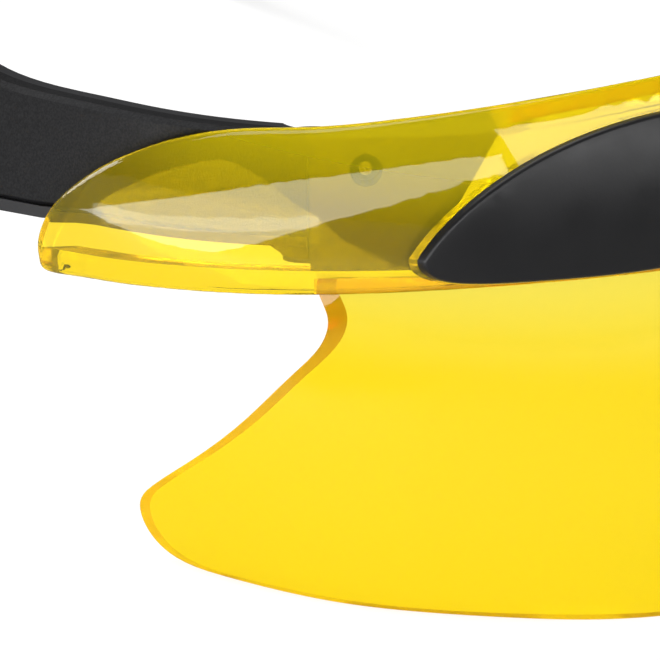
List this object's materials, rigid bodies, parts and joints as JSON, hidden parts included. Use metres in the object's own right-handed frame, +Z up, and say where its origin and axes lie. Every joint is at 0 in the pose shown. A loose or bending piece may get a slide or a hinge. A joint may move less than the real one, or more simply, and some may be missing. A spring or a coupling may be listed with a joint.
{
  "type": "safety glasses",
  "caption": "Wrap-round safety glasses: clear yellow hooded brow frame, curved lens, soft brow and nose pads, and folding black temples with soft ear tips.",
  "frame": {"origin": "middle of the footprint, on the plane the glasses stand on", "axes": "+Z up, -Y the way the wearer looks, +X to the wearer's left"},
  "size_m": [0.1412, 0.143, 0.0563],
  "materials": {
    "frame_polycarbonate": "clear yellow, polished",
    "lens_polycarbonate": "clear yellow, optical",
    "soft_black": "matte moulded elastomer",
    "nose_elastomer": "matte moulded elastomer",
    "black_nylon": "satin moulded nylon",
    "black_grained": "fine spark-eroded grain",
    "steel": "bright machined"
  },
  "bodies": {
    "front": {"brow_frame": "frame_polycarbonate", "lens": "lens_polycarbonate", "nose_bridge": "nose_elastomer", "brow_pad_right": "soft_black", "brow_pad_left": "soft_black", "nose_pad_right": "nose_elastomer", "nose_pad_left": "nose_elastomer", "hinge_block_right": "black_nylon", "hinge_block_left": "black_nylon", "block_screw_right": "steel", "block_screw_left": "steel", "hinge_screw_right": "steel", "hinge_screw_left": "steel", "hinge_nut_right": "steel", "hinge_nut_left": "steel"},
    "temple_right": {"temple_arm_right": "black_grained", "temple_liner_right": "black_nylon", "temple_tip_right": "soft_black"},
    "temple_left": {"temple_arm_left": "black_grained", "temple_liner_left": "black_nylon", "temple_tip_left": "soft_black"}
  },
  "joints": [
    {"name": "temple_fold_right", "type": "hinge", "parent": "front", "child": "temple_right", "pos_m": [-0.05602, -0.03907, 0.03896], "axis": [0, -0.2326, -0.9726], "range_deg": [0, 84]},
    {"name": "temple_fold_left", "type": "hinge", "parent": "front", "child": "temple_left", "pos_m": [0.05602, -0.03907, 0.03896], "axis": [0, 0.2326, 0.9726], "range_deg": [0, 58]}
  ]
}
